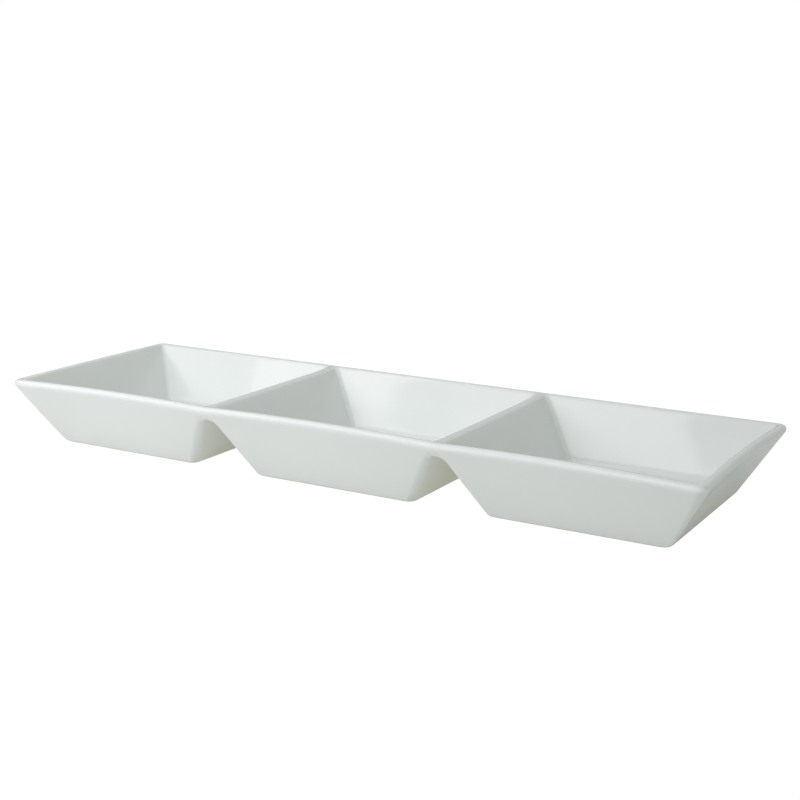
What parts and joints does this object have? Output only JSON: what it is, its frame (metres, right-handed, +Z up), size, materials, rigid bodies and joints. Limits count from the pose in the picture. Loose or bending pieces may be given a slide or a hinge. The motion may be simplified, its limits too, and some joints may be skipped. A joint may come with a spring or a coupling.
{
  "type": "divided serving dish",
  "caption": "Long rectangular glazed porcelain serving dish with square basins in a row, rounded dividers flush with the rim and open notches between the feet.",
  "frame": {"origin": "centre of the footprint on the surface that the dish stands on", "axes": "+X along the row of basins, +Y across the dish, +Z up out of the basins"},
  "size_m": [0.3804, 0.1242, 0.0359],
  "materials": {
    "biscuit": "matt unglazed fired porcelain",
    "white_glaze": "high gloss white glaze with a faint cool tint",
    "base_glaze": "high gloss white glaze inside the foot rings"
  },
  "bodies": {
    "root": {"porcelain_body": "biscuit", "glaze_coat": "white_glaze", "base_glaze_left": "base_glaze", "base_glaze_middle": "base_glaze", "base_glaze_right": "base_glaze"}
  },
  "joints": []
}
